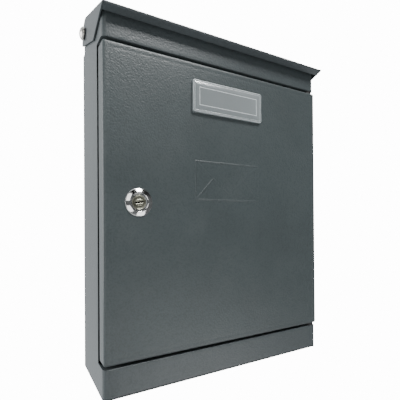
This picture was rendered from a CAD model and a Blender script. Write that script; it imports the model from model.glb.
import math

import bmesh
import bpy
import numpy as np
from mathutils import Matrix, Vector


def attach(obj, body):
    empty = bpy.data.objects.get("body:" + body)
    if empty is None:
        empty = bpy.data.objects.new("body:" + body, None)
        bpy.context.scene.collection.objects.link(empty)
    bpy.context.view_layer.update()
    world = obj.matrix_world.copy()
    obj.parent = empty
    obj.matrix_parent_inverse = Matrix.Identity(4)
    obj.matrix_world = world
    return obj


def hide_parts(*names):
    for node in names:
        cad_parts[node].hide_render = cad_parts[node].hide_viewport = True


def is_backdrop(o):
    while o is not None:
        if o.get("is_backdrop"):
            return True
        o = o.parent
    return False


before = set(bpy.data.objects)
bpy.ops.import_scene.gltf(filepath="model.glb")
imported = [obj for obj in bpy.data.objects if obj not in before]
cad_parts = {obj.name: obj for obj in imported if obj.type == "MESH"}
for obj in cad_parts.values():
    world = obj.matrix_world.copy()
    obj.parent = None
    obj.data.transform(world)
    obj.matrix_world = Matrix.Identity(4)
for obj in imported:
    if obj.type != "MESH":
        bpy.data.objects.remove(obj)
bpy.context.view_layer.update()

MM = 0.001
STEEL = 1.0            # sheet thickness, mm
CUT_BEVEL = 0.18       # rounding of the cut edges
HALF = 110.2           # half the cabinet's width
STRIP_Y = -73.5        # plane of the header and the plinth
BEND = 4.0             # outside radius of the cabinet's upright bends
BASE = -148.7          # cabinet's lower edge
FOOT = 2.2             # lowest level above the shell's lower edge
FOLD = 0.5             # outside radius where a strip or a stop turns in
PLINTH_TOP, HEADER_LOW = -126.0, 119.8
STOP_Y = -56.7         # side panel's edge beside the door
STOP_LOW, STOP_HIGH = -101.6, 95.4
EAR = 10.5             # side panel's round ear about the pivot
EAR_BACK = 8.6         # where the ear drops to the rear ledge, behind the pivot
EAR_LEDGE = 13.0       # rear ledge below the pivot
STOP_WIDTH = 12.0      # door stop, from the side panel inward
STRIP_RETURN = 12.0    # depth of the folds behind the header and the plinth
PIVOT = (-15.8, 149.192)
SLOPE = math.radians(19.7)


# ---------------------------------------------------------------- meshes

def quads(rows, cols, closed=False):
    """Corner numbers of the cells of a grid of points; closed joins its last column to its first."""
    index = np.arange(rows * cols).reshape(rows, cols)
    here = index if closed else index[:, :-1]
    after = np.roll(index, -1, axis=1) if closed else index[:, 1:]
    return np.stack([here[:-1], after[:-1], after[1:], here[1:]], axis=-1).reshape(-1, 4)


def piece(name, patches, material, body, stands_for=(), sheet=0.0, bevel=0.0, sharp=40.0,
          marks=None):
    """One welded object from patches, each a grid of points in millimetres and whether it closes on itself.

    A sheet is thickened away from its outward side, and its cut edges may be bevelled. Marks name a value
    for every point, which the piece's material reads.
    """
    points, faces, start = [], [], 0
    for grid, closed in patches:
        rows, cols = grid.shape[:2]
        points.append(grid.reshape(-1, 3))
        faces.append(quads(rows, cols, closed) + start)
        start += rows * cols
    mesh = bpy.data.meshes.new(name)
    mesh.from_pydata((np.concatenate(points) * MM).tolist(), [], np.concatenate(faces).tolist())
    for label, values in (marks or {}).items():
        attribute = mesh.attributes.new(label, "FLOAT", "POINT")
        attribute.data.foreach_set("value", np.asarray(values, np.float32).ravel())
    work = bmesh.new()
    work.from_mesh(mesh)
    bmesh.ops.remove_doubles(work, verts=work.verts, dist=2e-6)
    bmesh.ops.dissolve_degenerate(work, edges=work.edges, dist=1e-6)
    work.to_mesh(mesh)
    work.free()
    mesh.shade_smooth()
    mesh.set_sharp_from_angle(angle=math.radians(sharp))
    mesh.materials.append(material)
    thing = bpy.data.objects.new(name, mesh)
    bpy.context.scene.collection.objects.link(thing)
    if sheet:
        solid = thing.modifiers.new("thickness", "SOLIDIFY")
        solid.thickness = sheet * MM
        solid.offset = -1.0
        solid.use_even_offset = True
        solid.use_quality_normals = True
    if bevel:
        edge = thing.modifiers.new("edges", "BEVEL")
        edge.width = bevel * MM
        edge.segments = 2
        edge.limit_method = "ANGLE"
        edge.angle_limit = math.radians(50)
        edge.harden_normals = True
    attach(thing, body)
    if stands_for:
        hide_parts(*stands_for)
    return thing


def mirrored(grid):
    """The same grid beyond the middle plane, its columns reversed so that it still faces out."""
    return (grid * np.array([-1.0, 1.0, 1.0]))[:, ::-1]


def steps(start, end, size):
    """Even steps from start to end, none longer than size."""
    return np.linspace(start, end, max(2, int(math.ceil(abs(end - start) / size)) + 1))


def joined(*lists):
    """Lists of levels one after the other, without repeats."""
    return np.unique(np.round(np.concatenate([np.atleast_1d(part) for part in lists]), 6))


def lathe(profile, count=72):
    """Surface of revolution: radius and height of each profile row turned about the height axis."""
    turn = np.linspace(0, 2 * math.pi, count, endpoint=False)
    radius, height = np.array(profile, float).T
    return np.stack([radius[:, None] * np.cos(turn), radius[:, None] * np.sin(turn),
                     np.repeat(height[:, None], count, axis=1)], axis=-1)


def forward(grid, x, y, z):
    """Stand a turned shape on a point of the front, its height along -Y."""
    return np.stack([x + grid[..., 0], y - grid[..., 2], z + grid[..., 1]], axis=-1)


def sideways(grid, side, x, y, z):
    """Stand a turned shape on a side of the box, its height away from the box."""
    return np.stack([x + side * grid[..., 2], y + side * grid[..., 0], z + grid[..., 1]], axis=-1)


# ---------------------------------------------------------------- shader helpers

class Nodes:
    """Short calls for building a node tree."""

    def __init__(self, tree):
        self.tree = tree

    def add(self, kind, inputs=None, **settings):
        """A node with its settings and its input values or links."""
        node = self.tree.nodes.new(kind)
        for key, value in settings.items():
            setattr(node, key, value)
        for key, value in (inputs or {}).items():
            if isinstance(value, bpy.types.NodeSocket):
                self.tree.links.new(value, node.inputs[key])
            else:
                node.inputs[key].default_value = value
        return node

    def math(self, operation, first, second=0.0, third=0.0):
        """Arithmetic on two or three values."""
        return self.add("ShaderNodeMath", {0: first, 1: second, 2: third}, operation=operation).outputs[0]

    def fit(self, value, low, high, to_low=0.0, to_high=1.0):
        """Smooth step of a value from one range to another."""
        node = self.add("ShaderNodeMapRange", {"Value": value, "From Min": low, "From Max": high,
                                               "To Min": to_low, "To Max": to_high})
        node.interpolation_type = "SMOOTHSTEP"
        return node.outputs[0]

    def noise(self, place, scale, detail=2.0, rough=0.5):
        """Noise value, with its scale in features per metre."""
        return self.add("ShaderNodeTexNoise", {"Vector": place, "Scale": scale, "Detail": detail,
                                               "Roughness": rough}).outputs["Fac"]

    def mix(self, share, first, second):
        """Blend of two colours."""
        node = self.add("ShaderNodeMix", {"Factor": share}, data_type="RGBA")
        for socket, value in ((node.inputs[6], first), (node.inputs[7], second)):
            if isinstance(value, bpy.types.NodeSocket):
                self.tree.links.new(value, socket)
            else:
                socket.default_value = value
        return node.outputs[2]


def group(name, inputs, outputs):
    """A shader group with named sockets, and the nodes inside it."""
    tree = bpy.data.node_groups.new(name, "ShaderNodeTree")
    for label, kind, value in inputs:
        socket = tree.interface.new_socket(label, in_out="INPUT", socket_type=kind)
        if value is not None:
            socket.default_value = value
    for label, kind in outputs:
        tree.interface.new_socket(label, in_out="OUTPUT", socket_type=kind)
    return tree, Nodes(tree), tree.nodes.new("NodeGroupInput"), tree.nodes.new("NodeGroupOutput")


def pebble_group():
    """Coat grain: height of pebbles about the grain size with finer ones, and a slow drift of tone."""
    tree, n, entry, exit_node = group(
        "pebbled_coat",
        [("Place", "NodeSocketVector", None), ("Grain", "NodeSocketFloat", 650.0)],
        [("Height", "NodeSocketFloat"), ("Drift", "NodeSocketFloat"), ("Fine", "NodeSocketFloat")])
    place, grain = entry.outputs["Place"], entry.outputs["Grain"]
    coarse = n.noise(place, grain, 1.5, 0.45)
    cells = n.add("ShaderNodeTexVoronoi", {"Vector": place, "Scale": n.math("MULTIPLY", grain, 0.8),
                                           "Smoothness": 0.9}, feature="SMOOTH_F1").outputs["Distance"]
    fine = n.noise(place, n.math("MULTIPLY", grain, 3.1), 2.0, 0.55)
    pebbles = n.math("MULTIPLY_ADD", cells, -0.7, n.math("MULTIPLY", coarse, 1.1))
    height = n.math("MULTIPLY_ADD", fine, 0.22, pebbles)
    drift = n.noise(place, 14.0, 3.0, 0.55)
    for label, value in (("Height", height), ("Drift", drift), ("Fine", fine)):
        tree.links.new(value, exit_node.inputs[label])
    return tree


def dust_group():
    """Share of dust from 0 to 1: thin patches that gather where a surface faces up."""
    tree, n, entry, exit_node = group(
        "settled_dust",
        [("Place", "NodeSocketVector", None), ("Normal", "NodeSocketVector", None)],
        [("Dust", "NodeSocketFloat")])
    patches = n.fit(n.noise(entry.outputs["Place"], 46.0, 5.0, 0.62), 0.42, 0.74)
    rise = n.add("ShaderNodeSeparateXYZ", {"Vector": entry.outputs["Normal"]}).outputs["Z"]
    upward_share = n.fit(rise, 0.1, 0.95, 0.12, 1.0)
    tree.links.new(n.math("MULTIPLY", patches, upward_share), exit_node.inputs["Dust"])
    return tree


def scratch_group():
    """Share of fine scratches from 0 to 1: narrow ridges of a noise that is stretched along one way."""
    tree, n, entry, exit_node = group(
        "fine_scratches",
        [("Place", "NodeSocketVector", None), ("Scale", "NodeSocketFloat", 900.0)],
        [("Scratch", "NodeSocketFloat")])
    lines = []
    for turn, stretch in ((0.5, 14.0), (2.1, 11.0)):
        turned = n.add("ShaderNodeMapping", {"Vector": entry.outputs["Place"], "Rotation": (0.3, turn, 0.2),
                                             "Scale": (1.0, 1.0, 1.0 / stretch)}).outputs[0]
        value = n.add("ShaderNodeTexNoise", {"Vector": turned, "Scale": entry.outputs["Scale"],
                                             "Detail": 2.0}).outputs["Fac"]
        ridge = n.math("ABSOLUTE", n.math("SUBTRACT", value, 0.5))
        lines.append(n.fit(ridge, 0.0, 0.012, 1.0, 0.0))
    tree.links.new(n.math("MAXIMUM", lines[0], lines[1]), exit_node.inputs["Scratch"])
    return tree


PEBBLES, DUST, SCRATCHES = pebble_group(), dust_group(), scratch_group()


def material(name):
    """A new material with its nodes, its shader and the object's own coordinates."""
    made = bpy.data.materials.new(name)
    made.use_nodes = True
    n = Nodes(made.node_tree)
    shader = made.node_tree.nodes["Principled BSDF"]
    place = n.add("ShaderNodeTexCoord").outputs["Object"]
    return made, n, shader, place


def use(n, tree, **inputs):
    """A group's node with its inputs."""
    named = {key.capitalize(): value for key, value in inputs.items()}
    return n.add("ShaderNodeGroup", named, node_tree=tree)


def coat(name, tone, rough, grain, bump, rim=None):
    """Textured powder coat: dark pigment, pebbled gloss and a little dust.

    With a rim height in millimetres it also darkens in a line above the rim and in the recess by the door.
    """
    made, n, shader, place = material(name)
    normal = n.add("ShaderNodeNewGeometry").outputs["Normal"]
    pebbles = n.add("ShaderNodeGroup", node_tree=PEBBLES)
    made.node_tree.links.new(place, pebbles.inputs["Place"])
    pebbles.inputs["Grain"].default_value = grain
    dust = use(n, DUST, place=place, normal=normal).outputs["Dust"]
    height, drift, fine = (pebbles.outputs[key] for key in ("Height", "Drift", "Fine"))
    darker = tuple(0.94 * value for value in tone) + (1.0,)
    lighter = tuple(1.06 * value for value in tone) + (1.0,)
    pigment = n.mix(n.fit(drift, 0.3, 0.7), darker, lighter)
    pigment = n.mix(n.fit(height, 0.05, 0.45, 0.25, 0.0), pigment, tuple(0.45 * v for v in tone) + (1.0,))
    pigment = n.mix(n.math("MULTIPLY", dust, 0.10), pigment, (0.32, 0.31, 0.29, 1.0))
    if rim is not None:
        parts = n.add("ShaderNodeSeparateXYZ", {"Vector": place})
        cut = n.fit(parts.outputs["Z"], rim * MM, (rim + 2.2) * MM, 0.95, 0.0)
        inside = n.fit(n.math("ABSOLUTE", parts.outputs["X"]), (HALF - 0.6) * MM, (HALF - 0.2) * MM, 1.0, 0.0)
        near_stop = n.math("ABSOLUTE", n.math("SUBTRACT", parts.outputs["Y"], STOP_Y * MM))
        recess = n.math("MULTIPLY", inside, n.fit(near_stop, 0.0006, 0.0016, 1.0, 0.0))
        shade = n.math("MAXIMUM", cut, recess)
        pigment = n.mix(shade, pigment, (0.004, 0.005, 0.006, 1.0))
        made.node_tree.links.new(n.math("MULTIPLY_ADD", shade, -0.45, 0.5),
                                 shader.inputs["Specular IOR Level"])
    made.node_tree.links.new(pigment, shader.inputs["Base Color"])
    gloss = n.math("MULTIPLY_ADD", n.math("SUBTRACT", drift, 0.5), 0.05, rough)
    gloss = n.math("MULTIPLY_ADD", n.math("SUBTRACT", fine, 0.5), 0.20, gloss)
    gloss = n.math("MULTIPLY_ADD", dust, 0.10, gloss)
    made.node_tree.links.new(gloss, shader.inputs["Roughness"])
    raised = n.add("ShaderNodeBump", {"Height": height, "Strength": bump, "Distance": 0.0004})
    made.node_tree.links.new(raised.outputs[0], shader.inputs["Normal"])
    shader.inputs["IOR"].default_value = 1.5
    return made


def tick_mask(n, place, x, z, turn):
    """Share of a short dark mark that points out from (x, z) mm at an angle, 7.6 to 10.4 mm from there."""
    parts = n.add("ShaderNodeSeparateXYZ", {"Vector": place})
    across = n.math("SUBTRACT", parts.outputs["X"], x * MM)
    up = n.math("SUBTRACT", parts.outputs["Z"], z * MM)
    cos, sin = math.cos(math.radians(turn)), math.sin(math.radians(turn))
    along = n.math("MULTIPLY_ADD", across, cos, n.math("MULTIPLY", up, sin))
    aside = n.math("ABSOLUTE", n.math("MULTIPLY_ADD", across, -sin, n.math("MULTIPLY", up, cos)))
    reach = n.math("MULTIPLY", n.fit(along, 0.0074, 0.0078), n.fit(along, 0.0102, 0.0106, 1.0, 0.0))
    return n.math("MULTIPLY", reach, n.fit(aside, 0.00035, 0.0006, 1.0, 0.0))


def metal(name, dark, light, rough, spread, scratch, bump=0.05, tick=None):
    """Plated metal: drifting tint, uneven gloss, fine scratches that dull it, and a tick if one is given."""
    made, n, shader, place = material(name)
    cloud = n.noise(place, 260.0, 4.0, 0.6)
    tint = n.mix(n.fit(cloud, 0.3, 0.7), tuple(dark) + (1.0,), tuple(light) + (1.0,))
    lines = use(n, SCRATCHES, place=place).outputs["Scratch"]
    if tick:
        tint = n.mix(tick_mask(n, place, *tick), tint, (0.01, 0.01, 0.012, 1.0))
    made.node_tree.links.new(tint, shader.inputs["Base Color"])
    gloss = n.math("MULTIPLY_ADD", n.math("SUBTRACT", cloud, 0.5), spread, rough)
    gloss = n.math("MULTIPLY_ADD", lines, scratch, gloss)
    made.node_tree.links.new(gloss, shader.inputs["Roughness"])
    shader.inputs["Metallic"].default_value = 1.0
    raised = n.add("ShaderNodeBump", {"Height": n.math("MULTIPLY_ADD", lines, -0.3, cloud),
                                      "Strength": bump, "Distance": 0.0001})
    made.node_tree.links.new(raised.outputs[0], shader.inputs["Normal"])
    return made


def plastic(name, tone, rough):
    """Moulded plastic with a faint mould grain and an uneven gloss."""
    made, n, shader, place = material(name)
    grain = n.noise(place, 1900.0, 3.0, 0.6)
    cloud = n.noise(place, 120.0, 3.0, 0.5)
    made.node_tree.links.new(n.mix(cloud, tuple(0.8 * v for v in tone) + (1.0,),
                                   tuple(1.2 * v for v in tone) + (1.0,)), shader.inputs["Base Color"])
    made.node_tree.links.new(n.math("MULTIPLY_ADD", n.math("SUBTRACT", grain, 0.5), 0.3, rough),
                             shader.inputs["Roughness"])
    raised = n.add("ShaderNodeBump", {"Height": grain, "Strength": 0.1, "Distance": 0.0001})
    made.node_tree.links.new(raised.outputs[0], shader.inputs["Normal"])
    return made


def clear_plastic():
    """Clear moulded cover: mostly see-through, slightly milky, and rubbed white at its edges and steps."""
    made, n, shader, place = material("clear_plastic")
    cloud = n.noise(place, 60.0, 3.0, 0.5)
    rubbed = n.add("ShaderNodeAttribute", attribute_name="rubbed").outputs["Fac"]
    broken = n.fit(n.noise(place, 420.0, 3.0, 0.6), 0.25, 0.6, 0.45, 1.0)
    frost = n.math("MULTIPLY", rubbed, broken)
    milk = n.mix(cloud, (0.40, 0.45, 0.46, 1.0), (0.46, 0.51, 0.52, 1.0))
    made.node_tree.links.new(n.mix(frost, milk, (0.70, 0.75, 0.76, 1.0)), shader.inputs["Base Color"])
    gloss = n.math("MULTIPLY_ADD", frost, 0.5, n.math("MULTIPLY_ADD", cloud, 0.06, 0.14))
    made.node_tree.links.new(gloss, shader.inputs["Roughness"])
    see = n.math("MULTIPLY", n.math("SUBTRACT", 1.0, frost), 0.55)
    made.node_tree.links.new(see, shader.inputs["Transmission Weight"])
    shader.inputs["IOR"].default_value = 1.46
    return made


def card_paper():
    """Plain grey card with a fibre grain."""
    made, n, shader, place = material("card_paper")
    fibre = n.noise(place, 1500.0, 5.0, 0.7)
    made.node_tree.links.new(n.mix(fibre, (0.14, 0.165, 0.172, 1.0), (0.22, 0.25, 0.26, 1.0)),
                             shader.inputs["Base Color"])
    made.node_tree.links.new(n.math("MULTIPLY_ADD", fibre, 0.2, 0.65), shader.inputs["Roughness"])
    raised = n.add("ShaderNodeBump", {"Height": fibre, "Strength": 0.2, "Distance": 0.00005})
    made.node_tree.links.new(raised.outputs[0], shader.inputs["Normal"])
    return made


MATERIALS = {
    "cabinet_coat": coat("cabinet_coat", (0.057, 0.069, 0.072), 0.37, 820.0, 0.30, rim=BASE),
    "door_coat": coat("door_coat", (0.054, 0.067, 0.069), 0.38, 820.0, 0.30),
    "lid_coat": coat("lid_coat", (0.053, 0.064, 0.068), 0.40, 820.0, 0.30),
    "zinc": metal("zinc", (0.46, 0.44, 0.40), (0.68, 0.66, 0.62), 0.26, 0.14, 0.12),
    "lock_chrome": metal("lock_chrome", (0.58, 0.58, 0.57), (0.76, 0.76, 0.75), 0.09, 0.05, 0.10, 0.02,
                         tick=(-83.0, -2.3, 122.0)),
    "plug_metal": metal("plug_metal", (0.15, 0.15, 0.12), (0.27, 0.27, 0.22), 0.36, 0.16, 0.14),
    "washer_plastic": plastic("washer_plastic", (0.018, 0.018, 0.019), 0.5),
    "clear_plastic": clear_plastic(),
    "card_paper": card_paper(),
}


# ---------------------------------------------------------------- cabinet

def header_top(y):
    """Height of the side panel's top edge: line under the roof, round ear about the pivot, rear ledge."""
    cos, tan = math.cos(SLOPE), math.tan(SLOPE)
    line = PIVOT[1] + EAR / cos + (y - PIVOT[0]) * tan
    ear = PIVOT[1] + np.sqrt(np.clip(EAR ** 2 - (y - PIVOT[0]) ** 2, 0, None))
    top = np.where(y < PIVOT[0] - EAR * math.sin(SLOPE), line, ear)
    return np.where(y > PIVOT[0] + EAR_BACK, PIVOT[1] - EAR_LEDGE, top)


def upright(plan, low, high, inner):
    """Wall over plan points, from each column's low level, through the inner levels, to its high level."""
    rows = [low] + [np.full(len(plan), level) for level in inner] + list(high)
    levels = np.array(rows)
    return np.stack([np.repeat(plan[None, :, 0], len(levels), axis=0),
                     np.repeat(plan[None, :, 1], len(levels), axis=0), levels], axis=-1)


def cabinet_skin():
    """Folded shell: each zone is a plan line swept up; strip edges turn in round a small bend."""
    ear_end = PIVOT[0] + EAR_BACK
    side_y = np.concatenate([steps(0, ear_end + 0.06, 1.2), steps(ear_end - 0.06, -30.0, 0.8),
                             steps(-30.0, STOP_Y + FOLD, 6.0)[1:], [STOP_Y]])
    arc = np.linspace(0, math.pi / 2, 9)
    corner = np.stack([-HALF + BEND * (1 - np.cos(arc)), STRIP_Y + BEND - BEND * np.sin(arc)], axis=1)
    front_x = steps(-HALF + BEND, HALF - BEND, 9.0)
    rear = np.stack([np.full(len(side_y), -HALF), side_y], axis=1)
    fore_y = steps(STOP_Y, STRIP_Y + BEND, 3.0)
    fore = np.stack([np.full(len(fore_y), -HALF), fore_y], axis=1)

    plinth = np.array([BASE + FOOT, -143.0, -139.0, -135.0, -130.0, PLINTH_TOP - FOLD])
    head = np.linspace(0, 1, 8)
    patches = []

    def both(grid):
        patches.extend([(grid, False), (mirrored(grid), False)])

    for plan in (rear, fore):
        both(upright(plan, np.full(len(plan), BASE), [np.full(len(plan), PLINTH_TOP)], plinth))
    both(upright(corner, np.full(9, BASE), [np.full(9, PLINTH_TOP)], plinth))
    for plan in (rear, fore, corner):
        top = header_top(plan[:, 1])
        lift = HEADER_LOW + FOLD
        both(upright(plan, np.full(len(plan), HEADER_LOW), [lift + t * (top - lift) for t in head], []))
    for low, high, columns in ((PLINTH_TOP, STOP_LOW, rear), (STOP_LOW, STOP_HIGH, rear[:-1]),
                               (STOP_HIGH, HEADER_LOW, rear)):
        both(upright(columns, np.full(len(columns), low), [np.full(len(columns), high)],
                     steps(low, high, 12.0)[1:-1]))

    turn = np.linspace(0, math.pi / 2, 6)
    stop_x = np.concatenate([-HALF + FOLD * (1 - np.cos(turn)),
                             steps(-HALF + FOLD, -HALF + STOP_WIDTH, 3.0)[1:]])
    stop_y = np.concatenate([STOP_Y + FOLD - FOLD * np.sin(turn), np.full(len(stop_x) - 6, STOP_Y)])
    stop = np.stack([stop_x, stop_y], axis=1)
    both(upright(stop, np.full(len(stop), STOP_LOW), [np.full(len(stop), STOP_HIGH)],
                 steps(STOP_LOW, STOP_HIGH, 12.0)[1:-1]))

    def strip(columns, path):
        """Front strip: a path of depth and height swept across the columns."""
        path = np.array(path)
        return np.stack([np.repeat(columns[None], len(path), axis=0),
                         np.repeat(path[:, :1], len(columns), axis=1),
                         np.repeat(path[:, 1:], len(columns), axis=1)], axis=-1)

    inner, heel = STRIP_Y + STRIP_RETURN, STRIP_Y + STRIP_RETURN / 2
    under = [(inner, BASE), (heel, BASE)] + [
        (STRIP_Y + FOLD - FOLD * math.sin(a), BASE + FOLD - FOLD * math.cos(a)) for a in turn]
    shoulder = [(STRIP_Y + FOLD - FOLD * math.cos(a), PLINTH_TOP - FOLD + FOLD * math.sin(a))
                for a in turn] + [(heel, PLINTH_TOP), (inner, PLINTH_TOP)]
    flat = [(STRIP_Y, level) for level in plinth[:-1]]
    patches.append((strip(front_x, under + flat + shoulder), False))
    brow = [(inner, HEADER_LOW), (heel, HEADER_LOW)] + [
        (STRIP_Y + FOLD - FOLD * math.sin(a), HEADER_LOW + FOLD - FOLD * math.cos(a)) for a in turn]
    top = float(header_top(np.array([STRIP_Y]))[0])
    wall = [(STRIP_Y, HEADER_LOW + FOLD + t * (top - HEADER_LOW - FOLD)) for t in head[1:]]
    patches.append((strip(front_x, brow + wall), False))

    edge = HALF - BEND
    wing = np.array([[edge, inner], [edge + 1.5, inner], [edge + 2.9, inner],
                     [edge, heel], [edge + 1.5, heel], [edge + 2.9, heel],
                     [edge, STRIP_Y + FOLD], [edge + 1.5, STRIP_Y + 1.4], [edge + 2.9, STRIP_Y + 3.4]])
    wing = wing.reshape(3, 3, 2)
    for level in (HEADER_LOW, PLINTH_TOP):
        rows = wing if level == HEADER_LOW else wing[::-1]
        both(np.concatenate([rows, np.full((3, 3, 1), level)], axis=2))
    return piece("cabinet_skin", patches, MATERIALS["cabinet_coat"], "cabinet", ["cabinet_shell"],
                 sheet=STEEL, bevel=CUT_BEVEL)


# ---------------------------------------------------------------- lid

LID_HALF = 111.7
ROOF_V, ROOF_BEND, LID_FOLD = 14.0, 10.0, 1.2
FRONT_U, TAIL_U = -67.852, 11.2
CHEEK_LOW = -9.5
CUT_BACK = 27.2
CUT = np.array([CUT_BACK, CHEEK_LOW - ROOF_V]) / math.hypot(CUT_BACK, CHEEK_LOW - ROOF_V)
LIP = 8.4
WASHER = 1.0           # screw head's underside from the cheek


def tilt(x, u, v):
    """Lid coordinates (across, along the roof, square to it) to the frame."""
    return np.stack(np.broadcast_arrays(x, PIVOT[0] + u * math.cos(SLOPE) - v * math.sin(SLOPE),
                                        PIVOT[1] + u * math.sin(SLOPE) + v * math.cos(SLOPE)), axis=-1)


def arc_points(centre, radius, start, end, count):
    """Points on an arc from one angle to another, in degrees."""
    turn = np.radians(np.linspace(start, end, count))
    return np.stack([centre[0] + radius * np.cos(turn), centre[1] + radius * np.sin(turn)], axis=1)


def lid_skin():
    """Rain lid: one folded cross-section carried back along the roof and round its rear bend."""
    bend_start = TAIL_U - ROOF_BEND
    fold_set = 1.0 / math.tan(0.5 * math.atan2(-CUT[1], CUT[0]))
    fold_u = FRONT_U + fold_set
    rear = np.linspace(0, math.pi / 2, 10)
    along_roof = steps(fold_u, bend_start, 8.0)
    nose = FRONT_U + LID_FOLD * CUT_BACK / (ROOF_V - CHEEK_LOW)
    base = [(u, 0.0) for u in along_roof] + [(bend_start, a) for a in rear[1:]]
    cross = np.linspace(math.pi / 2, 0, 6)
    flat_x = steps(-(LID_HALF - LID_FOLD), LID_HALF - LID_FOLD, 9.0)
    inset = LID_FOLD * (1 - np.cos(cross))
    bent_x = -LID_HALF + LID_FOLD * (1 - np.sin(cross))
    across = np.concatenate([bent_x, flat_x[1:-1], -bent_x[::-1]])
    depth = np.concatenate([inset, np.zeros(len(flat_x) - 2), inset[::-1]])

    def row(u, angle):
        reach = ROOF_BEND - depth
        if angle == 0.0:
            return tilt(across, np.full(len(across), u), ROOF_V - depth)
        return tilt(across, u + reach * math.sin(angle), ROOF_V - ROOF_BEND + reach * math.cos(angle))

    roof = np.stack([row(u, a) for u, a in base])
    patches = [(roof, False)]
    ends = len(bent_x)
    front = tilt(across, np.full(len(across), nose), ROOF_V - depth)
    patches.append((np.stack([front[:ends], roof[0, :ends]]), False))
    patches.append((np.stack([front[-ends:], roof[0, -ends:]]), False))

    edge = ROOF_V - LID_FOLD
    top = [(nose, edge)] + [(u, edge) for u in along_roof]
    reach, centre = ROOF_BEND - LID_FOLD, ROOF_V - ROOF_BEND
    top += [(bend_start + reach * math.sin(a), centre + reach * math.cos(a)) for a in rear[1:]]
    top += [(TAIL_U, centre)]
    top = np.array(top)
    count = len(top)
    slope_angle = math.degrees(math.atan2(CUT[1], CUT[0]))
    toe_back = 2.0 * math.tan(math.radians(-slope_angle) / 2)
    toe_centre = np.array([FRONT_U + CUT_BACK + toe_back, CHEEK_LOW + 2.0])
    toe = arc_points(toe_centre, 2.0, 270.0 + slope_angle, 270.0, 4)
    heel = arc_points((TAIL_U - 4.0, CHEEK_LOW + 4.0), 4.0, 270.0, 360.0, 8)
    between = count - 10
    middle = np.stack([np.linspace(toe[-1, 0], heel[0, 0], between), np.full(between, CHEEK_LOW)], axis=1)
    bottom = np.concatenate([toe[:-1], middle, heel[1:]])
    share = np.linspace(0, 1, 6)[:, None, None]
    cheek = (1 - share) * top[None] + share * bottom[None]
    left = tilt(-LID_HALF, cheek[..., 0], cheek[..., 1])
    patches.extend([(left, False), (mirrored(left), False)])

    normal = np.array([CUT[1], -CUT[0]])
    fold_end = math.degrees(math.atan2(normal[1], normal[0])) % 360
    fold = arc_points((fold_u, ROOF_V - 1.0), 1.0, 90.0, fold_end, 9)
    tail = np.array([fold_u, ROOF_V - 1.0]) + normal + CUT * (LIP - fold_set)
    lip_path = np.concatenate([[tail], fold[::-1]])
    lip = tilt(flat_x[None], lip_path[:, :1], lip_path[:, 1:])
    patches.append((lip, False))
    return piece("lid_skin", patches, MATERIALS["lid_coat"], "lid", ["lid"],
                 sheet=STEEL, bevel=CUT_BEVEL)


# ---------------------------------------------------------------- door

DOOR_HALF, DOOR_LOW, DOOR_HIGH = 110.0, -123.6, 117.4
FACE_Y, DOOR_BACK, DOOR_BEND = -74.7, -61.7, 2.2
LOCK = (-83.0, -2.3)
LOCK_HOLE = 8.9        # radius of the door's hole for the lock
SIGN = (-33.0, 33.0, 1.4, 33.9)
WINDOW = (36.2, 13.5, 88.5)    # half width, half height and middle height
CLIP_X = 28.0          # window's clips from the middle


def line_height(x, z, start, end, half):
    """Raised line: a rounded ridge that falls from 1 on the line to 0 at half its width."""
    start, end = np.array(start), np.array(end)
    way = end - start
    t = np.clip(((x - start[0]) * way[0] + (z - start[1]) * way[1]) / (way @ way), 0, 1)
    gap = np.hypot(x - start[0] - t * way[0], z - start[1] - t * way[1])
    return 0.5 + 0.5 * np.cos(np.pi * np.clip(gap / half, 0, 1))


def relief(x, z):
    """Height of the door's pressed envelope sign, and the faint pressed line inside the door's edge."""
    left, right, low, high = SIGN
    point = low + 0.17 * (high - low)
    middle = 0.5 * (left + right)
    meet = [0.48 * left, high - (high - point) * 0.52]
    lines = [((left, low), (right, low), 0.7), ((left, high), (right, high), 0.8),
             ((left, low), (left, high), 1.0), ((right, low), (right, high), 0.6),
             ((left, high), (middle, point), 0.45), ((right, high), (middle, point), 0.35),
             ((left, low), meet, 0.9), ((right, low), (-meet[0], meet[1]), 0.45)]
    shape = np.zeros_like(x)
    for start, end, share in lines:
        shape = np.maximum(shape, share * line_height(x, z, start, end, 0.95))
    edge_gap = np.minimum.reduce([DOOR_HALF - np.abs(x), DOOR_HIGH - z, z - DOOR_LOW])
    border = np.exp(-((edge_gap - 5.0) / 0.9) ** 2)
    return 0.40 * shape - 0.08 * border


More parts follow.
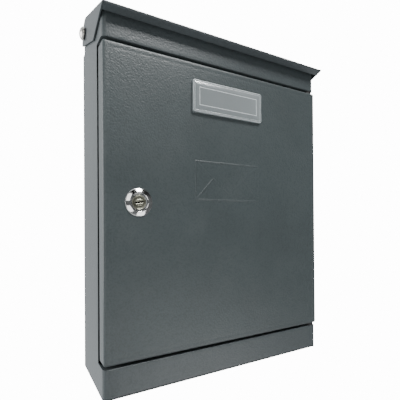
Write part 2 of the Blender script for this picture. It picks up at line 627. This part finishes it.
def door_skin():
    """Door tray: a face with a raised sign and a lock hole, then a bend and a folded edge all round."""
    hx, low, high = DOOR_HALF - DOOR_BEND, DOOR_LOW + DOOR_BEND, DOOR_HIGH - DOOR_BEND
    border = np.array([0.0, 0.9, 1.7, 2.3, 2.8, 3.4, 4.2, 5.2])
    around = 12.0
    xs = joined(-hx + border, hx - border, steps(-hx + 5.2, LOCK[0] - around, 6.0),
                steps(LOCK[0] - around, LOCK[0] + around, 3.0), steps(LOCK[0] + around, -35.0, 6.0),
                steps(-35.0, 35.0, 0.42), steps(35.0, hx - 5.2, 6.0))
    zs = joined(low + border, high - border, steps(low + 5.2, LOCK[1] - around, 6.0),
                steps(LOCK[1] - around, -0.6, 3.0), steps(-0.6, LOCK[1] + around, 0.42),
                steps(LOCK[1] + around, 35.6, 0.42), steps(35.6, high - 5.2, 6.0))
    x, z = np.meshgrid(xs, zs)
    face = np.stack([x, FACE_Y - relief(x, z), z], axis=-1)
    i0, i1 = np.searchsorted(xs, LOCK[0] - around - 1e-6), np.searchsorted(xs, LOCK[0] + around - 1e-6)
    j0, j1 = np.searchsorted(zs, LOCK[1] - around - 1e-6), np.searchsorted(zs, LOCK[1] + around - 1e-6)
    patches = [(face[:j0 + 1], False), (face[j1:], False), (face[j0:j1 + 1, :i0 + 1], False),
               (face[j0:j1 + 1, i1:], False)]
    square = np.concatenate([face[j0, i0:i1], face[j0:j1, i1], face[j1, i1:i0:-1], face[j1:j0:-1, i0]])
    turn = np.arctan2(square[:, 2] - LOCK[1], square[:, 0] - LOCK[0])
    rim = np.stack([LOCK[0] + LOCK_HOLE * np.cos(turn), np.full(len(turn), FACE_Y),
                    LOCK[1] + LOCK_HOLE * np.sin(turn)], axis=1)
    share = np.linspace(0, 1, 4)[:, None, None]
    patches.append(((1 - share) * square[None] + share * rim[None], True))

    base = np.concatenate([face[0, :-1], face[:-1, -1], face[-1, :0:-1], face[:0:-1, 0]])
    sides = [len(xs) - 1, len(zs) - 1, len(xs) - 1, len(zs) - 1]
    outward = np.repeat([-90.0, 0.0, 90.0, 180.0], sides)
    points, angles, start = [], [], 0
    for number, size in enumerate(sides):
        fan = np.linspace(-90.0, 0.0, 8)[:-1] + 90.0 * number - 90.0
        points.extend([np.repeat(base[start:start + 1], 8 - 1, axis=0), base[start:start + size]])
        angles.extend([fan, outward[start:start + size]])
        start += size
    points, angles = np.concatenate(points), np.radians(np.concatenate(angles))
    way = np.stack([np.cos(angles), np.zeros(len(angles)), np.sin(angles)], axis=1)
    bend = np.linspace(0, math.pi / 2, 8)
    run = [(DOOR_BEND * math.sin(a), DOOR_BEND * (1 - math.cos(a))) for a in bend]
    run += [(DOOR_BEND, depth) for depth in steps(DOOR_BEND, DOOR_BACK - FACE_Y, 4.0)[1:]]
    wrap = np.stack([points + way * out + np.array([0.0, back, 0.0]) for out, back in run])
    patches.append((wrap[:, ::-1], True))
    return piece("door_skin", patches, MATERIALS["door_coat"], "door", ["door_panel"],
                 sheet=STEEL, bevel=0.0)


# ---------------------------------------------------------------- fittings

def pivot_screw(side, end):
    """Domed head with a thin rim, over a plain shank with a rounded end."""
    dome = [(5.6 * math.sin(a), 0.5 + 3.1 * math.cos(a)) for a in np.linspace(0, math.pi / 2, 14)]
    profile = dome + [(5.55, 0.1), (5.3, 0.0), (2.0, 0.0), (2.0, -7.0), (1.6, -7.5), (0.0, -7.5)]
    grid = sideways(lathe(profile, 64)[::-1 if side > 0 else 1], side, side * (LID_HALF + WASHER), *PIVOT)
    return piece("pivot_head_" + end, [(grid, True)], MATERIALS["zinc"], "cabinet",
                 ["lid_pivot_screw_" + end])


def lock_housing():
    """Front ring with a broad conical bevel and a stepped throat, over a threaded barrel with two flats."""
    crown = [(7.05, 1.85), (7.2, 1.96), (7.45, 2.0), (7.75, 1.93), (8.4, 1.68), (9.2, 1.36), (10.0, 1.03),
             (10.5, 0.8), (10.8, 0.6), (10.95, 0.35)]
    throat = [(5.67, -18.4), (5.67, 1.3), (5.8, 1.45), (6.3, 1.45), (6.45, 1.15), (6.95, 1.15)]
    ring = lathe(throat + crown + [(11.0, 0.0), (8.6, 0.0)], 96)
    level = -1.0 - np.arange(0, 17.4, 0.25)
    turn = np.linspace(0, 2 * math.pi, 96, endpoint=False)
    phase = (level[:, None] / 1.0 + turn[None] / (2 * math.pi)) % 1.0
    radius = 8.8 - 0.55 * np.abs(2 * phase - 1)
    radius[:2] = 8.6
    barrel = np.stack([np.clip(radius * np.cos(turn), -8.0, 8.0), radius * np.sin(turn),
                       np.repeat(level[:, None], 96, axis=1)], axis=-1)
    join = np.stack([ring[-1], barrel[0]])
    foot = np.stack([barrel[-1], barrel[-1] * np.array([0.97, 0.97, 1.0]) - np.array([0, 0, 0.15]), ring[0]])
    patches = [(forward(part[::-1], LOCK[0], FACE_Y, LOCK[1]), True) for part in (ring, join, barrel, foot)]
    return piece("lock_front", patches, MATERIALS["lock_chrome"], "door", ["lock_housing"],
                 sharp=32.0)


def lock_plug():
    """Turning plug: outlines that pass from the key slot, over an oval guide, to the rim and square tail."""
    turn = np.linspace(0, 2 * math.pi, 96, endpoint=False)
    rows = [(0.0, 0.0, 2, -9.0), (3.2, 0.65, 8, -9.0), (3.2, 0.65, 8, 1.0), (3.3, 0.75, 7, 1.22),
            (3.75, 1.35, 3, 1.5), (4.05, 1.75, 2.6, 1.5), (4.3, 2.1, 2.4, 1.25), (4.45, 2.5, 2.2, 1.0),
            (4.8, 4.1, 2, 0.95), (5.0, 4.9, 2, 1.1), (5.3, 5.3, 2, 1.3), (5.55, 5.55, 2, 1.2),
            (5.6, 5.6, 2, 1.0), (5.6, 5.6, 2, -18.6), (5.4, 5.4, 2, -18.8),
            (2.5, 2.5, 14, -18.8), (2.5, 2.5, 14, -20.3), (0.0, 0.0, 2, -20.3)]
    long, short, power, height = np.array(rows, float).T[:, :, None]
    cos, sin = np.cos(turn)[None], np.sin(turn)[None]
    across = long * np.sign(cos) * np.abs(cos) ** (2 / power)
    up = short * np.sign(sin) * np.abs(sin) ** (2 / power)
    tilt_angle = math.radians(8.0)
    grid = np.stack([across * math.cos(tilt_angle) - up * math.sin(tilt_angle),
                     across * math.sin(tilt_angle) + up * math.cos(tilt_angle),
                     height + 0 * cos], axis=-1)
    return piece("lock_plug_face", [(forward(grid[::-1], LOCK[0], FACE_Y, LOCK[1]), True)],
                 MATERIALS["plug_metal"], "lock_core", ["lock_plug"], sharp=32.0)


def rounded(half_w, half_h, radius, count=10):
    """Closed outline of a rectangle with rounded corners, as across and up."""
    parts = []
    for number, (sx, sz) in enumerate(((1, 1), (-1, 1), (-1, -1), (1, -1))):
        turn = np.radians(np.linspace(0, 90, count) + 90 * number)
        parts.append(np.stack([sx * (half_w - radius) + radius * np.cos(turn),
                               sz * (half_h - radius) + radius * np.sin(turn)], axis=1))
    return np.concatenate(parts)


def name_cover():
    """Clear cover: a profile of inset, height and wear carried round a rounded rectangle, with two clips."""
    half_w, half_h, middle = WINDOW
    profile = [(3.4, 1.2, 0), (3.2, 0.0, 0), (0.25, 0.0, 0), (0.0, 0.25, 0), (0.0, 1.8, 0.2), (0.15, 2.3, 1),
               (0.4, 2.55, 0.8), (0.7, 2.6, 0.1), (1.5, 2.6, 0), (1.75, 2.5, 0.5), (2.0, 2.6, 0),
               (5.5, 2.6, 0), (5.75, 2.6, 0.1), (5.95, 2.72, 0.9), (6.2, 2.72, 0.9), (6.4, 2.55, 0.1),
               (6.7, 2.55, 0), (13.45, 2.55, 0)]
    rings, rubbed = [], []
    for inset, height, wear in profile:
        outline = rounded(half_w - inset, half_h - inset, max(0.03, 1.4 - inset))
        rings.append(np.stack([outline[:, 0], outline[:, 1], np.full(len(outline), height)], axis=1))
        rubbed.append(np.full(len(outline), wear))
    back = rings[0] * np.array([1, 0.004, 1])
    front = rings[-1] * np.array([1, 0.0, 1])
    grid = np.stack([back] + rings + [front])
    rubbed = [np.zeros(len(back))] + rubbed + [np.zeros(len(back))]
    patches = [(forward(grid[::-1], 0.0, FACE_Y, middle), True)]
    wear = [np.stack(rubbed[::-1])]
    for side in (-1, 1):
        clip = [(0.0, 0.0, 1.2), (0.8, 3.5, 1.2), (0.8, 3.5, -1.3), (1.5, 2.4, -1.6), (0.8, 2.4, -4.4),
                (0.0, 0.0, -4.5)]
        loops = []
        for half_x, half_z, height in clip:
            outline = np.array([[1, 1], [-1, 1], [-1, -1], [1, -1]]) * np.array([half_x, half_z])
            moved = outline + np.array([side * CLIP_X, 0.0])
            loops.append(np.concatenate([moved, np.full((4, 1), height)], axis=1))
        patches.append((forward(np.stack(loops), 0.0, FACE_Y, middle), True))
        wear.append(np.zeros((len(clip), 4)))
    return piece("name_cover", patches, MATERIALS["clear_plastic"], "door", ["name_window"],
                 sharp=25.0, marks={"rubbed": np.concatenate([part.ravel() for part in wear])})


def keep_nodes():
    """The remaining pieces keep their own meshes and take the finish of their slots."""
    kept = {"cabinet_coat": ["back_panel", "bottom_panel"],
            "zinc": ["lid_pivot_nut_left", "lid_pivot_nut_right", "door_hinge_pin_upper",
                     "door_hinge_pin_lower", "lock_nut", "lock_cam", "cam_washer", "cam_screw"],
            "washer_plastic": ["lid_pivot_washer_left", "lid_pivot_washer_right", "door_hinge_washer_upper",
                               "door_hinge_washer_lower"],
            "card_paper": ["name_card"]}
    for slot, names in kept.items():
        for name in names:
            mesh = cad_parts[name].data
            mesh.materials.clear()
            mesh.materials.append(MATERIALS[slot])


# ---------------------------------------------------------------- surroundings

def floor():
    """Plain pale floor, well under the box."""
    mesh = bpy.data.meshes.new("floor")
    mesh.from_pydata([(-3, -3, -3), (3, -3, -3), (3, 3, -3), (-3, 3, -3)], [], [(0, 1, 2, 3)])
    made, n, shader, place = material("pale_floor")
    made.node_tree.links.new(n.mix(n.noise(place, 3.0), (0.78, 0.78, 0.78, 1), (0.82, 0.82, 0.82, 1)),
                             shader.inputs["Base Color"])
    shader.inputs["Roughness"].default_value = 0.9
    mesh.materials.append(made)
    thing = bpy.data.objects.new("floor", mesh)
    bpy.context.scene.collection.objects.link(thing)
    thing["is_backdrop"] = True


def area_light(name, place, target, size, power, shape_y=None):
    """Soft rectangular light at a place in metres, aimed at a target."""
    data = bpy.data.lights.new(name, "AREA")
    data.shape = "RECTANGLE"
    data.size, data.size_y = size, shape_y or size
    data.energy = power
    thing = bpy.data.objects.new(name, data)
    thing.location = place
    thing.rotation_euler = (Vector(target) - Vector(place)).to_track_quat("-Z", "Y").to_euler()
    thing.visible_camera = False
    bpy.context.scene.collection.objects.link(thing)


def surroundings():
    """White studio, bright all round but dim in front, with soft boxes high and low and two side cards."""
    world = bpy.data.worlds.new("studio")
    world.use_nodes = True
    n = Nodes(world.node_tree)
    tree = world.node_tree
    way = n.add("ShaderNodeTexCoord").outputs["Generated"]
    parts = n.add("ShaderNodeSeparateXYZ", {"Vector": way})
    ahead = n.add("ShaderNodeVectorMath", {0: way, 1: (0.30, -0.95, 0.0)}, operation="DOT_PRODUCT")
    dim = ahead.outputs["Value"]
    level = n.fit(dim, -0.1, 0.5, 1.0, 0.15)
    low = n.fit(parts.outputs["Z"], -0.5, -0.1, 1.25, 1.0)
    high = n.math("MULTIPLY", n.fit(parts.outputs["Z"], 0.2, 0.55, 0.0, 0.8), n.fit(dim, -0.1, 0.4))
    below = n.fit(parts.outputs["Z"], -0.95, -0.6, 2.2, 0.0)
    above = n.fit(parts.outputs["Z"], 0.75, 0.93, 0.0, 1.8)
    level = n.math("MULTIPLY", n.math("MULTIPLY", level, low), n.math("SUBTRACT", 1.0, high))
    strength = n.math("MAXIMUM", n.math("MAXIMUM", level, below), above)
    lit = n.add("ShaderNodeBackground", {"Color": (0.93, 0.97, 1.0, 1.0), "Strength": strength})
    seen = n.add("ShaderNodeBackground", {"Color": (1.0, 1.0, 1.0, 1.0), "Strength": 14.0})
    camera_ray = n.add("ShaderNodeLightPath").outputs["Is Camera Ray"]
    blend = n.add("ShaderNodeMixShader", {0: camera_ray, 1: lit.outputs[0], 2: seen.outputs[0]})
    tree.links.new(blend.outputs[0], tree.nodes["World Output"].inputs["Surface"])
    bpy.context.scene.world = world
    area_light("front_box", (0.24, -0.68, 0.91), (0, 0, 0), 0.34, 14.5)
    area_light("low_box", (0.42, -0.90, -0.66), (0, 0, -0.08), 0.60, 3.2)
    area_light("left_card_high", (-0.44, -0.87, 0.37), (-0.08, -0.07, 0), 0.34, 1.4, 0.48)
    area_light("left_card_low", (-0.40, -0.88, -0.34), (-0.08, -0.07, 0), 0.46, 1.4, 0.38)
    area_light("left_wall", (-1.1, 0.35, 0.15), (-0.11, -0.03, 0), 0.9, 12.5)


def camera():
    """View from the left front, level, a little below the middle."""
    data = bpy.data.cameras.new("camera")
    data.lens = 29.47
    data.sensor_width = 36.0
    data.shift_y = 0.055
    thing = bpy.data.objects.new("camera", data)
    yaw, pitch, roll = math.radians(29.37), math.radians(0.34), math.radians(-0.39)
    ahead = Vector((math.sin(yaw) * math.cos(pitch), math.cos(yaw) * math.cos(pitch), math.sin(pitch)))
    right = Vector((math.cos(yaw), -math.sin(yaw), 0.0))
    up = right.cross(ahead)
    turned = right * math.cos(roll) + up * math.sin(roll)
    rise = turned.cross(ahead)
    matrix = np.eye(4)
    matrix[:3, 0], matrix[:3, 1], matrix[:3, 2] = turned, rise, -ahead
    matrix[:3, 3] = (-0.16525, -0.3162, -0.0192)
    thing.matrix_world = Matrix(matrix.tolist())
    bpy.context.scene.collection.objects.link(thing)
    bpy.context.scene.camera = thing


cabinet_skin()
lid_skin()
door_skin()
pivot_screw(-1, "left")
pivot_screw(1, "right")
lock_housing()
lock_plug()
name_cover()
keep_nodes()
floor()
surroundings()
camera()

shown = [thing for thing in bpy.context.scene.objects if thing.type == "MESH" and not thing.hide_render
         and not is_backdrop(thing)]
graph = bpy.context.evaluated_depsgraph_get()
corners = []
for thing in shown:
    ready = thing.evaluated_get(graph)
    corners.extend(ready.matrix_world @ Vector(corner) for corner in ready.bound_box)
corners = np.array(corners)
